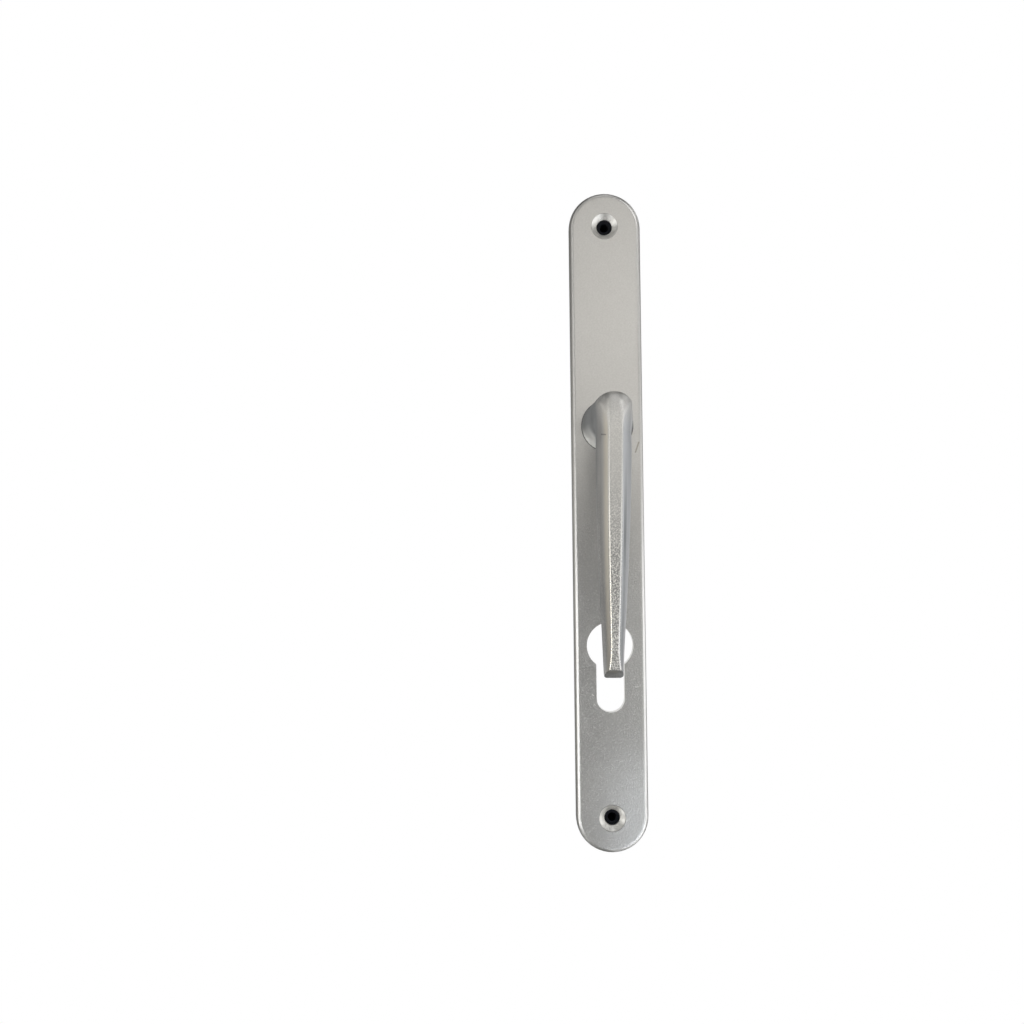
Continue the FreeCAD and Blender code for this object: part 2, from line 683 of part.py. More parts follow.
def lug_circles(name, diameter):
    """A sketch with one circle at each end of the ring."""
    sketch = new_sketch(ring, name, "XZ_Plane", RING_BACK)
    for side, sign in (("left", "-"), ("right", "")):
        middle = Vector(size(f"{sign}({LUG_ACROSS})"), size(LUG_UP), 0)
        circle = sketch.addGeometry(Part.Circle(middle, UP, size(diameter) / 2))
        dimension(sketch, f"{side}_diameter", "Diameter", circle, expression=diameter)
        dimension(sketch, f"{side}_up", "DistanceY", -1, 1, circle, 3, expression=LUG_UP)
        dimension(
            sketch, f"{side}_across", "DistanceX", -1, 1, circle, 3,
            expression=f"{sign}({LUG_ACROSS})",
        )
    return sketch


pad(ring, lug_circles("RingLugs", "Sizes.ring_lug_diameter"), "Sizes.ring_thickness", "RingLugPads")
pocket(ring, lug_circles("RingEyes", "Sizes.ring_lug_hole"), "Sizes.ring_thickness", "RingEyeCut")
mouth = new_sketch(ring, "RingMouth", "XZ_Plane", RING_BACK)
mouth_edge = "Sizes.ring_gap / 2"
add_polygon(
    mouth,
    [
        (f"-{mouth_edge}", "0"),
        (mouth_edge, "0"),
        (mouth_edge, "Sizes.recess_diameter"),
        (f"-{mouth_edge}", "Sizes.recess_diameter"),
    ],
)
pocket(ring, mouth, "Sizes.ring_thickness", "RingMouthCut")

# Spindle: a square steel bar in the lever's socket, out through the back to the lock

spindle = new_body("spindle", "Sizes.pivot_height", turned=True)
SPINDLE_FRONT = f"(Sizes.socket_depth - {JOURNAL_END} - Sizes.socket_end_gap)"
bar = new_sketch(spindle, "SpindleSquare", "XZ_Plane", "-Sizes.spindle_reach")
add_rectangle(bar, "Sizes.spindle_width", "Sizes.spindle_width")
square_bar = pad(spindle, bar, f"Sizes.spindle_reach + {SPINDLE_FRONT}", "SpindleBar")
corners = edges_where(square_bar.Shape, lambda box: box.YLength > size("Sizes.spindle_reach"))
rounded_bar = dress(spindle, "Fillet", square_bar, corners, "Radius", "Sizes.spindle_corner")
ends = edges_where(rounded_bar.Shape, lambda box: box.YLength < 1e-3)
dress(spindle, "Chamfer", rounded_bar, ends, "Size", "Sizes.spindle_chamfer / 2")

# Grub screw: it clamps the spindle from the underside of the neck

grub = new_body("grub_screw", "Sizes.pivot_height", turned=True)
rod = grub.newObject("Sketcher::SketchObject", "GrubRod")
place_under_neck(rod, grub)
bind(rod, "AttachmentOffset.Base.z", "-Sizes.spindle_width / 2 - Sizes.grub_length")
add_circle(rod, "rod", "Sizes.grub_diameter - 2 * Sizes.running_clearance")
pad(grub, rod, "Sizes.grub_length", "GrubBody")
key = grub.newObject("Sketcher::SketchObject", "GrubKey")
place_under_neck(key, grub)
bind(key, "AttachmentOffset.Base.z", "-Sizes.spindle_width / 2 - Sizes.grub_length")
key_radius = "Sizes.grub_key / sqrt(3)"
add_polygon(
    key,
    [(f"{key_radius} * cos({60 * i})", f"{key_radius} * sin({60 * i})") for i in range(6)],
)
pocket(grub, key, "Sizes.grub_key_depth", "GrubKeyCut")

# Screw dowels: slit plastic plugs behind the two screw holes, that grip the door


def make_dowel(label, height):
    """A plug whose head fills the seat behind a screw hole; the shank lies in the door."""
    dowel = new_body(label, height)
    profile = new_sketch(dowel, "DowelProfile", "YZ_Plane")
    shank = "Sizes.dowel_shank_diameter / 2"
    bore = "Sizes.dowel_pilot_diameter / 2"
    bore_end = "Sizes.dowel_length - Sizes.dowel_end_wall"
    add_polygon(
        profile,
        [
            ("-Sizes.dowel_head_thickness", bore),
            ("-Sizes.dowel_head_thickness", "Sizes.dowel_head_diameter / 2"),
            ("0", "Sizes.dowel_head_diameter / 2"),
            ("0", shank),
            ("Sizes.dowel_length", shank),
            ("Sizes.dowel_length", "0"),
            (bore_end, "0"),
            (bore_end, bore),
        ],
    )
    revolve(dowel, profile, "DowelBody")
    slit = new_sketch(dowel, "DowelSlit", "YZ_Plane")
    half_slit = "Sizes.dowel_slit_width / 2"
    slit_start = "Sizes.dowel_slit_margin"
    slit_end = "Sizes.dowel_length - Sizes.dowel_slit_margin"
    add_polygon(
        slit,
        [
            (slit_start, f"-{half_slit}"),
            (slit_end, f"-{half_slit}"),
            (slit_end, half_slit),
            (slit_start, half_slit),
        ],
    )
    pocket(dowel, slit, "2 * Sizes.dowel_head_diameter", "DowelSlitCut", both_ways=True)
    return dowel


upper_dowel = make_dowel("upper_screw_dowel", FIXING_HEIGHT)
lower_dowel = make_dowel("lower_screw_dowel", f"-{FIXING_HEIGHT}")

# Every feature must be sound before anything is written

doc.recompute()
for thing in doc.Objects:
    if {"Invalid", "Error"} & set(thing.State):
        raise ValueError(f"{thing.Label} did not build: {thing.State}")

os.makedirs("parts", exist_ok=True)
for body in doc.findObjects("PartDesign::Body"):
    if body.Shape.isNull() or not body.Shape.isValid() or len(body.Shape.Solids) != 1:
        raise ValueError(f"{body.Label} is not one sound solid")
for body in doc.findObjects("PartDesign::Body"):
    body.Shape.exportStep(f"parts/{body.Label}.step")
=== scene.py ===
import math

import bmesh
import bpy
from mathutils import Matrix, Vector


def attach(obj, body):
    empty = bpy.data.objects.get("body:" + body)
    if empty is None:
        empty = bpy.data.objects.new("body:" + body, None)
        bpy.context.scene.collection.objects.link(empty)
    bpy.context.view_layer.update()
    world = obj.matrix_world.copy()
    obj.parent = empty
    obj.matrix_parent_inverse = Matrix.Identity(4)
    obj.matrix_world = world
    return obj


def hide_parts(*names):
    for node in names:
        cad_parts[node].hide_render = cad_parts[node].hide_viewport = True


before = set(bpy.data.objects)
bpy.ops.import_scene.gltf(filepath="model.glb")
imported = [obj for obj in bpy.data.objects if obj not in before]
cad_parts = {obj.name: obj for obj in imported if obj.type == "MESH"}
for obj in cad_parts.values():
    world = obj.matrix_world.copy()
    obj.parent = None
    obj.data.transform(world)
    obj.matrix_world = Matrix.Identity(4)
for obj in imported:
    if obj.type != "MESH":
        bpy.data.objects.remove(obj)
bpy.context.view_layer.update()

# Camera: it stands in front of the door, a little to the left of the handle and below
# the middle of the plate, and looks almost straight at it.
scene = bpy.context.scene
eye = bpy.data.cameras.new("eye")
eye.lens, eye.sensor_width = 44.5, 36.0
camera = bpy.data.objects.new("eye", eye)
scene.collection.objects.link(camera)
eye_place = (-0.0323, -0.495, -0.01754)
yaw, pitch, roll = math.radians(0.585), math.radians(2.431), math.radians(0.606)
upright = math.radians(90)
camera.matrix_world = (
    Matrix.Translation(eye_place)
    @ Matrix.Rotation(yaw, 4, "Z")
    @ Matrix.Rotation(pitch, 4, "X")
    @ Matrix.Rotation(roll, 4, "Y")
    @ Matrix.Rotation(upright, 4, "X")
)
scene.camera = camera
scene.view_settings.view_transform = "Standard"


# Studio: a white screen far behind the handle, which fills the picture, and a pale matt
# floor below. The screen is white where it is seen or mirrored, and only there, so the
# lamps light the metal by themselves.
class Amount:
    """A number or colour of a finish. Sums and products of it add the nodes they need."""

    def __init__(self, finish, socket):
        self.finish = finish
        self.socket = socket

    def maths(self, operation, *values):
        return self.finish.node("ShaderNodeMath", dict(enumerate(values)), operation=operation)

    def __add__(self, other):
        return self.maths("ADD", self, other)

    __radd__ = __add__

    def __sub__(self, other):
        return self.maths("SUBTRACT", self, other)

    def __rsub__(self, other):
        return self.maths("SUBTRACT", other, self)

    def __mul__(self, other):
        return self.maths("MULTIPLY", self, other)

    __rmul__ = __mul__

    def __neg__(self):
        return self.maths("MULTIPLY", self, -1.0)

    def __pow__(self, power):
        return self.maths("POWER", self, power)

    def __abs__(self):
        return self.maths("ABSOLUTE", self)

    def at_least(self, other):
        return self.maths("MAXIMUM", self, other)

    def at_most(self, other):
        return self.maths("MINIMUM", self, other)

    def band(self, start, end):
        """Runs from 0 to 1 while this amount goes from start to end, with soft ends."""
        return self.finish.node(
            "ShaderNodeMapRange",
            {"Value": self, "From Min": start, "From Max": end},
            interpolation_type="SMOOTHSTEP",
        )


class Finish:
    """A material, or the light of a room, built from nodes.

    Its patterns lie on the piece's own coordinates, in metres.
    """

    def __init__(self, name, tree=None):
        self.tree = tree
        if tree is None:
            self.material = bpy.data.materials.new(name)
            self.material.use_nodes = True
            self.tree = self.material.node_tree
        self.tree.nodes.clear()

    def node(self, kind, values, output=0, **settings):
        """Adds one node: its settings first, then the values or links of its sockets."""
        made = self.tree.nodes.new(kind)
        for name, setting in settings.items():
            setattr(made, name, setting)
        for name, value in values.items():
            if isinstance(value, Amount):
                self.tree.links.new(value.socket, made.inputs[name])
            else:
                made.inputs[name].default_value = value
        return Amount(self, made.outputs[output]) if len(made.outputs) else None

    def place(self, scale=(1, 1, 1), shift=(0, 0, 0), turn=(0, 0, 0)):
        """The piece's own coordinates, scaled along each axis, then turned and shifted."""
        own = self.node("ShaderNodeTexCoord", {}, output="Object")
        values = {0: own, "Location": shift, "Rotation": turn, "Scale": scale}
        return self.node("ShaderNodeMapping", values)

    def axis(self, name):
        """One coordinate of the piece, in metres."""
        return self.node("ShaderNodeSeparateXYZ", {0: self.place()}, output=name)

    def noise(self, size, detail=2.0, stretch=(1, 1, 1), roughness=0.5):
        """Soft random patches of about this size, from 0 to 1.

        They are turned, so that no flat face lies along the net that they grow on.
        """
        askew = (0.5, 0.3, 0.7)
        patches = self.place(tuple(s / size for s in stretch), turn=askew)
        return self.node(
            "ShaderNodeTexNoise",
            {"Vector": patches, "Scale": 1.0, "Detail": detail, "Roughness": roughness},
        )

    def mark(self, start, end, width):
        """1 on a straight mark between two places of the piece, and 0 away from it."""
        start, end = Vector(start), Vector(end)
        along = (end - start).normalized()
        from_start = self.place(shift=tuple(-start))
        reach = self.node(
            "ShaderNodeVectorMath", {0: from_start, 1: tuple(along)}, output="Value",
            operation="DOT_PRODUCT",
        )
        inside = reach.at_least(0.0).at_most((end - start).length)
        nearest = self.node(
            "ShaderNodeVectorMath", {0: tuple(along), "Scale": inside}, operation="SCALE"
        )
        distance = self.node(
            "ShaderNodeVectorMath", {0: from_start, 1: nearest}, output="Value",
            operation="DISTANCE",
        )
        full_width = 0.3 * width
        return distance.band(width, full_width)

    def blend(self, share, first, second):
        """A colour this share of the way from the first to the second."""
        share_socket, first_socket, second_socket, colour_output = 0, 6, 7, 2
        colours = {first_socket: first, second_socket: second}
        values = {i: (*c, 1.0) if isinstance(c, tuple) else c for i, c in colours.items()}
        values[share_socket] = share
        return self.node("ShaderNodeMix", values, output=colour_output, data_type="RGBA")

    def bump(self, height, distance, strength=1.0, under=None):
        """A normal that follows the height, a distance in metres."""
        values = {"Height": height, "Distance": distance, "Strength": strength}
        if under is not None:
            values["Normal"] = under
        return self.node("ShaderNodeBump", values)

    def surface(self, **values):
        """Ends the material in one principled surface."""
        named = {
            name.replace("_", " ").title().replace("Ior", "IOR"): value
            for name, value in values.items()
        }
        shader = self.node("ShaderNodeBsdfPrincipled", named)
        self.node("ShaderNodeOutputMaterial", {"Surface": shader})
        return self.material


def white_card(name):
    """Pale matt card that is plain white where it is seen or mirrored."""
    card = Finish(name)
    seen = card.node("ShaderNodeLightPath", {}, output="Is Camera Ray")
    mirrored = card.node("ShaderNodeLightPath", {}, output="Is Glossy Ray")
    through = card.node("ShaderNodeLightPath", {}, output="Is Transmission Ray")
    white = card.node("ShaderNodeEmission", {"Strength": 1.0})
    matt = card.node("ShaderNodeBsdfDiffuse", {"Color": (0.8, 0.8, 0.8, 1.0)})
    shown = seen + mirrored + through
    shader = card.node("ShaderNodeMixShader", {0: shown, 1: matt, 2: white})
    card.node("ShaderNodeOutputMaterial", {"Surface": shader})
    return card.material


def matt_card(name):
    """Pale matt card with a slight tooth, which keeps the shadow of the handle."""
    card = Finish(name)
    tooth = card.noise(0.004, detail=3.0)
    pale = card.blend(tooth, (0.78, 0.78, 0.77), (0.82, 0.82, 0.81))
    return card.surface(base_color=pale, roughness=0.9, normal=card.bump(tooth, 0.0002))


def card(name, corners, material):
    """A flat sheet of card with these corners."""
    mesh = bpy.data.meshes.new(name)
    mesh.from_pydata(corners, [], [(0, 1, 2, 3)])
    mesh.materials.append(material)
    sheet = bpy.data.objects.new(name, mesh)
    scene.collection.objects.link(sheet)


side, near, far, ground, ceiling = 1.3, -1.0, 2.5, -1.1, 1.4
card(
    "screen",
    [(-side, far, ground), (side, far, ground), (side, far, ceiling), (-side, far, ceiling)],
    white_card("screen"),
)
card(
    "floor",
    [(-side, near, ground), (side, near, ground), (side, far, ground), (-side, far, ground)],
    matt_card("floor"),
)

# Room light: a dim even grey all round the handle. Past the edges of the screen and the
# floor, the room is white where the camera looks at it.
room = bpy.data.worlds.new("room")
room.use_nodes = True
scene.world = room
air = Finish("room", room.node_tree)
dim_grey, white = (0.06, 0.06, 0.06, 1.0), (1.0, 1.0, 1.0, 1.0)
looked_at = air.node("ShaderNodeLightPath", {}, output="Is Camera Ray")
walls = air.node("ShaderNodeBackground", {"Color": dim_grey, "Strength": 1.0})
paper = air.node("ShaderNodeBackground", {"Color": white, "Strength": 1.0})
sky = air.node("ShaderNodeMixShader", {0: looked_at, 1: walls, 2: paper})
air.node("ShaderNodeOutputWorld", {"Surface": sky})


# Lamps: soft boxes a metre away all round, turned to the handle. The light from its right
# is the stronger, and a tall narrow box at its left draws the lines of its edges.
def softbox(name, around, above, watts, colour=(1.0, 1.0, 1.0), width=0.5, height=0.5):
    """A flat lamp so many degrees round to the right and above the front."""
    lamp = bpy.data.lights.new(name, "AREA")
    lamp.shape = "RECTANGLE"
    lamp.size, lamp.size_y = width, height
    lamp.energy = watts
    lamp.color = colour
    stand = bpy.data.objects.new(name, lamp)
    scene.collection.objects.link(stand)
    turn, lift = math.radians(around), math.radians(above)
    place = Vector(
        (math.sin(turn) * math.cos(lift), -math.cos(turn) * math.cos(lift), math.sin(lift))
    )
    stand.location = place
    stand.rotation_euler = (-place).to_track_quat("-Z", "Y").to_euler()


warm, cool = (1.0, 0.985, 0.95), (0.95, 0.98, 1.0)
softbox("front_lamp", 5, 15, 0.82, warm, height=0.48)
softbox("high_left_lamp", -45, 35, 0.8, warm)
softbox("high_right_lamp", 45, 35, 1.75)
softbox("high_front_lamp", 0, 58, 0.72)
softbox("top_lamp", 0, 88, 0.7)
softbox("left_roof_lamp", -115, 40, 0.45)
softbox("right_roof_lamp", 115, 40, 1.0)
softbox("low_front_lamp", 0, -30, 0.42)
softbox("low_left_lamp", -40, -35, 0.42)
softbox("low_right_lamp", 40, -35, 2.17, cool)
softbox("near_right_lamp", 18, -20, 0.24, cool, width=0.4, height=0.4)
softbox("low_left_side_lamp", -90, -45, 1.4)
softbox("low_right_side_lamp", 90, -45, 0.8)
softbox("left_strip", -36, -8, 1.9, width=0.18, height=0.8)
softbox("left_front_lamp", -62, -8, 1.2, warm, height=0.6)
softbox("left_lamp", -75, 0, 0.45)
softbox("left_rear_lamp", -105, 0, 0.9, warm)
softbox("far_left_lamp", -130, 0, 0.18)
softbox("right_front_lamp", 36, 0, 0.7, warm, width=0.7)
softbox("right_lamp", 75, -6, 2.05, height=0.9)
softbox("right_rear_lamp", 105, 0, 0.85)
softbox("far_right_lamp", 130, 0, 0.47, cool)


# Backplate: a flat bar of satin aluminium with round ends and rounded edges. It is
# milled through for the two screws, the bearing and the profile cylinder.
sharp_from = math.radians(28)


def shade_round(mesh, merge_within):
    """Merges a mesh's points and shades its faces round, except at its sharp edges."""
    bmesh.ops.remove_doubles(mesh, verts=mesh.verts, dist=merge_within)
    for face in mesh.faces:
        face.smooth = True
    for edge in mesh.edges:
        edge.smooth = len(edge.link_faces) == 2 and edge.calc_face_angle(0) < sharp_from


def plain_copy(rough):
    """What the modifiers of a rough object make, as a mesh of its own."""
    bpy.context.view_layer.update()
    graph = bpy.context.evaluated_depsgraph_get()
    return bpy.data.meshes.new_from_object(rough.evaluated_get(graph), depsgraph=graph)


def fair_copy(node):
    """The part's own mesh as a piece, with its points merged and its faces shaded round."""
    mesh = bmesh.new()
    mesh.from_mesh(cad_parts[node].data)
    shade_round(mesh, merge_within=1e-6)
    data = bpy.data.meshes.new(node + "_dressed")
    mesh.to_mesh(data)
    mesh.free()
    rough = bpy.data.objects.new(node + "_rough", data)
    scene.collection.objects.link(rough)
    fair = rough.modifiers.new("fair", "WEIGHTED_NORMAL")
    fair.keep_sharp = True
    fair.mode = "FACE_AREA"
    piece = bpy.data.objects.new(node + "_dressed", plain_copy(rough))
    bpy.data.objects.remove(rough)
    scene.collection.objects.link(piece)
    return piece


def dress(node, body, material):
    """Puts a fair copy with this material in the place of a node."""
    piece = fair_copy(node)
    piece.data.materials.clear()
    piece.data.materials.append(material)
    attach(piece, body)
    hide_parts(node)


# The plate's places, in metres from the middle of its back, and the marks on it.
plate_front, arc_centre, rim_highlight_start, brink_shade_start = -0.005, 0.114, 0.0120, 0.0129
screw_hole_height, countersink_radius = 0.1147, 0.00515
cylinder_top, cylinder_foot, cylinder_side = -0.0385, -0.0760, 0.0098
dark_streak = ((0.01215, plate_front, 0.0298), (0.01085, plate_front, 0.0260))
scratches = (
    ((-0.0072, plate_front, -0.0674), (-0.0066, plate_front, -0.0678)),
    ((-0.0063, plate_front, -0.0712), (-0.0060, plate_front, -0.0716)),
    ((0.0096, plate_front, -0.0646), (0.0106, plate_front, -0.0645)),
    ((0.0035, plate_front, 0.1255), (0.0044, plate_front, 0.1256)),
)

# Its tones, each a darkest and a lightest, or one.
clean_tones = ((0.545, 0.535, 0.515), (0.64, 0.63, 0.61))
matt_shaded_tones, fleck_tone = ((0.39, 0.385, 0.375), (0.50, 0.495, 0.48)), (0.60, 0.595, 0.58)
lit_foot_tones = ((0.56, 0.565, 0.565), (0.66, 0.665, 0.665))
rim_highlight_tone, brink_shade_tone = (0.93, 0.925, 0.91), (0.36, 0.355, 0.34)
milled_tone, scratch_tone = (0.93, 0.92, 0.89), (0.9, 0.89, 0.87)
dark_streak_tone = (0.27, 0.245, 0.20)


def satin_aluminium():
    """Satin anodised aluminium: a fine even grain, faint clouds and a few rubbed marks.

    The rolled bar is a little crowned across its width, which turns its reflections. Its
    lower half is painted darker, as painted shade, and its foot painted pale again, as painted
    light. Below the pivot its rim carries a painted highlight, and all round its outer brink
    carries painted shade.
    """
    metal = Finish("satin_aluminium")
    grain = metal.noise(0.0006, detail=3.0, roughness=0.6)
    cloud = metal.noise(0.03, detail=3.0)
    across, up, ahead = metal.axis("X"), metal.axis("Z"), -metal.axis("Y")
    lower = up.band(0.03, -0.05) * ahead.band(0.001, 0.003)

    # The flat of the plate: clean above; below the pivot matt with light flecks and painted
    # darker, as painted shade; at the foot painted pale again, more to the right, as painted
    # light.
    tone = (0.6 * grain + 0.4 * cloud).band(0.25, 0.75)
    matt = metal.blend(grain.band(0.55, 0.72), metal.blend(tone, *matt_shaded_tones), fleck_tone)
    colour = metal.blend(lower, metal.blend(tone, *clean_tones), matt)
    lit_foot = up.band(-0.072, -0.118) * across.band(-0.014, 0.008) * lower
    colour = metal.blend(lit_foot, colour, metal.blend(tone, *lit_foot_tones))

    # The rounded edge: a painted highlight along its rim, left out at the lower left, and
    # painted shade on its dark outer brink.
    beyond_centre = (abs(up) - arc_centre).at_least(0.0)
    from_middle = (beyond_centre ** 2.0 + across ** 2.0) ** 0.5
    from_middle = from_middle - 0.0005 * across.band(-0.002, 0.002)
    softness = 0.0004
    rim_highlight = from_middle.band(rim_highlight_start, rim_highlight_start + softness)
    brink_shade = from_middle.band(brink_shade_start, brink_shade_start + softness)
    spared = up.band(-0.116, -0.121) * across.band(0.002, -0.004)
    colour = metal.blend(rim_highlight * lower * (1.0 - spared), colour, rim_highlight_tone)
    colour = metal.blend(brink_shade, colour, brink_shade_tone)

    # A dark brown streak beside the neck, and the marks of use: bare scratches.
    colour = metal.blend(0.7 * metal.mark(*dark_streak, 0.0004), colour, dark_streak_tone)
    bare = sum(metal.mark(*scratch, 0.0003) for scratch in scratches)
    colour = metal.blend(0.5 * bare, colour, scratch_tone)

    # The milled cuts: the countersinks and the walls of the cylinder's cut-out.
    from_hole = ((abs(up) - screw_hole_height) ** 2.0 + across ** 2.0) ** 0.5
    sunk = from_hole.band(countersink_radius + 0.0001, countersink_radius - 0.0001)
    sunk = sunk * ahead.band(-plate_front - 0.00005, -plate_front - 0.0002)
    wall = ahead.band(-plate_front - 0.0001, -plate_front - 0.0004) * ahead.band(0.0001, 0.0004)
    wall = wall * up.band(cylinder_top, cylinder_top - 0.0005)
    wall = wall * up.band(cylinder_foot, cylinder_foot + 0.0005)
    wall = wall * abs(across).band(cylinder_side, cylinder_side - 0.0004)
    cut = sunk.at_least(wall)
    colour = metal.blend(cut, colour, milled_tone)

    # The gloss of it all, and its relief: the fine tooth of the grain on a slight crown.
    polish = 0.31 + 0.06 * (cloud - 0.5) + 0.06 * (grain - 0.5) + 0.1 * bare + 0.06 * cut
    polish = polish + rim_highlight * (0.14 - 0.10 * lower)
    crown_rise = 2.5 * (0.15 + 0.85 * lower)
    crown = metal.bump(-(crown_rise * across * across), 1.0)
    tooth = (0.8 + 4.0 * lower) * (1.0 - cut) * grain
    relief = metal.bump(tooth - 2.0 * bare, 0.00004, under=crown)
    return metal.surface(base_color=colour, metallic=1.0, roughness=polish, normal=relief)


dress("backplate", "plate", satin_aluminium())


# Lever: one aluminium casting. Its round neck bends into a grip with a narrow flat face
# and two full flanks, and the sharp edges of the face fade away in the elbow. Behind the
# plate the same casting is turned to a journal, with a square socket for the spindle.

# The sizes of its shape, in millimetres from the pivot's axis and the plate's back.
pivot_height, hang = 36.3, math.radians(0.88)
neck_foot, grip_front, grip_back = -5.6, -52.0, -39.5
neck_wide, neck_narrow, inner_bend, elbow_top = 19.6, 15.4, 8.0, 8.2
bend_y = grip_back + inner_bend
bend_z = -neck_narrow / 2 - inner_bend
elbow_square, elbow_widening, level_from, shoulder_from = 7, 6, 0.8, 0.5
edge_fade_start, edge_fade_end = 26, 60    # degrees of the elbow's bend
grip_end, grip_wide, tip_wide, wide_belly = 90.65, 12.9, 6.75, 1.1
grip_depth, tip_depth = 12.5, 10.5
face_top, face_waist, face_tip, face_belly, waist_share = 4.1, 2.1, 3.4, 0.4, 0.88
top_fullness, tip_fullness, shoulder_fullness = 0.03, 0.05, 0.10
edge_radius, top_corner, tip_corner = 0.45, 2.0, 0.9
end_slant, slant_from, end_round, end_trim = math.radians(18.7), 0.8, 1.0, 0.05
end_edge = ((0.22, 0.0), (0.10, 0.015), (0.03, 0.05), (0.0, 0.11))
journal_radius, groove_radius, journal_chamfer = 7.5, 7.05, 0.15
journal_start, groove_start, groove_end, journal_end = neck_foot - 2.0, -1.5, -0.4, 0.9
socket_half, socket_start, socket_end = 4.05, -27.1, 2.0
grub_radius, grub_level, grub_start, grub_end = 2.5, -20.6, 0.0, -12.0

# The net of its shape: where the points of a section lie, which of them hands rub at the
# edges of the face, how many sections each part has, and how the rub grows down the grip.
face_shares, rear_shares, corner_steps = (0.0, 0.4, 0.7, 0.9), (0.85, 0.6, 0.3, 0.0), 8
flank_shares = (0.04, 0.12, 0.22, 0.34, 0.46, 0.58, 0.7, 0.81, 0.9, 0.96)
rubbed_points = (*range(4, 12), *range(60, 66))
neck_steps, elbow_steps, grip_steps, end_rings = 12, 36, 60, 12
first_rub, rub_growth = 0.1, 1.4

# A round section keeps this sliver of flat, and its front corners are a hair smaller.
round_flat, round_ease = 0.4, 0.001


def smooth(share):
    """Eases a share from 0 to 1."""
    share = min(max(share, 0.0), 1.0)
    return share * share * (3 - 2 * share)


def between(start, end, share):
    """The size a share of the way from start to end."""
    return start + (end - start) * share


def belly(share, height):
    """A rise that is nothing at both ends of a share and full in its middle."""
    return 4 * share * (1 - share) * height


def corner(centre, radius, start, end):
    """The points of a round corner, from one angle to another."""
    angles = [between(start, end, i / corner_steps) for i in range(corner_steps + 1)]
    return [centre + radius * Vector((math.cos(a), math.sin(a))) for a in angles]


def outline(face, wide, reach, depth, edge, rear_corner, fullness=0.0):
    """One section, once round, as points across the lever and out to its face."""
    edge_centre = Vector((face / 2, reach - edge))
    rear_centre = Vector((wide / 2 - rear_corner, reach - depth + rear_corner))
    span = rear_centre - edge_centre
    lean, along = (edge - rear_corner) / span.length, span.normalized()
    out = along * lean + Vector((-along.y, along.x)) * math.sqrt(1 - lean**2)
    tilt = math.atan2(out.y, out.x)
    half = [Vector((face / 2 * share, reach)) for share in face_shares]
    half += corner(edge_centre, edge, math.pi / 2, tilt)
    flank_start, flank_end = half[-1], rear_centre + rear_corner * out
    for share in flank_shares:
        swell = fullness * (flank_end - flank_start).length * 4 * share * (1 - share)
        half.append(flank_start.lerp(flank_end, share) + swell * out)
    half += corner(rear_centre, rear_corner, tilt, -math.pi / 2)
    half += [Vector((rear_centre.x * share, reach - depth)) for share in rear_shares]
    return half + [Vector((-p.x, p.y)) for p in half[-2:0:-1]]


def round_outline(wide):
    """A section of the neck: a circle with the same count of points as the grip's."""
    quadrant = (wide - round_flat) / 2
    return outline(round_flat, wide, wide / 2, wide, quadrant - round_ease, quadrant)


def shouldered(points, middle, share):
    """The same section with fuller outer shoulders."""
    made = []
    for p in points:
        arm = p - Vector((0, middle))
        full = (2 * arm.x * arm.y / arm.length_squared) ** 2 if arm.y > 0 else 0.0
        made.append(Vector((0, middle)) + arm * (1 + shoulder_fullness * share * full))
    return made


# The neck narrows on its way out from the plate.
rings, rubs = [], []
for i in range(neck_steps + 1):
    share = i / neck_steps
    points = shouldered(round_outline(between(neck_wide, neck_narrow, share)), 0.0, share)
    level = between(neck_foot, bend_y, share)
    rings.append([Vector((p.x, level, p.y)) for p in points])
    rubs.append(0.0)

# The elbow turns down round a centre behind the grip. It starts level with the neck and
# with its fuller shoulders, and the edges of the face grow in it.
bend_centre = Vector((0, bend_y, bend_z))
top_reach, front_reach = elbow_top - bend_z, bend_y - grip_front
for i in range(1, elbow_steps + 1):
    turn, share = math.radians(90 - 90 / elbow_steps * i), 1 - i / elbow_steps
    fade = smooth((math.degrees(turn) - edge_fade_start) / (edge_fade_end - edge_fade_start))
    wide = between(grip_wide, neck_narrow, share**elbow_widening)
    upwards, forwards = math.sin(turn) / top_reach, math.cos(turn) / front_reach
    reach = (upwards**elbow_square + forwards**elbow_square) ** (-1 / elbow_square)
    drop = top_reach - neck_narrow / 2 + bend_z
    reach -= drop * smooth((share - level_from) / (1 - level_from))
    quadrant = (wide - round_flat) / 2
    points = outline(
        between(face_top, round_flat, fade), wide, reach, reach - inner_bend,
        between(edge_radius, quadrant - round_ease, fade), between(top_corner, quadrant, share),
        top_fullness * (1 - fade),
    )
    shoulder = smooth((share - shoulder_from) / (1 - shoulder_from))
    points = shouldered(points, (reach + inner_bend) / 2, shoulder)
    axis = Vector((0, -math.cos(turn), math.sin(turn)))
    rings.append([bend_centre + Vector((p.x, 0, 0)) + p.y * axis for p in points])
    rubs.append((1 - fade) ** 2 * first_rub)

# The grip hangs straight down, and its sections lean into the slant of its end.
for i in range(1, grip_steps + 1):
    share = i / grip_steps
    slant = end_slant * smooth((share - slant_from) / (1 - slant_from))
    waist = share / waist_share
    face = between(face_top, face_waist, waist) + belly(waist, face_belly)
    if share > waist_share:
        flare = (share - waist_share) / (1 - waist_share)
        face = between(face_waist, face_tip, flare**2)
    points = outline(
        face, between(grip_wide, tip_wide, share) + belly(share, wide_belly), 0.0,
        between(grip_depth, tip_depth, share) / math.cos(slant), edge_radius,
        between(top_corner, tip_corner, share), between(top_fullness, tip_fullness, share),
    )
    axis = Vector((0, -math.cos(slant), math.sin(slant)))
    drop = between(-bend_z, grip_end, share)
    rings.append([Vector((p.x, grip_front, -drop)) + p.y * axis for p in points])
    rubs.append(between(first_rub, 1.0, min(share * rub_growth, 1.0)))

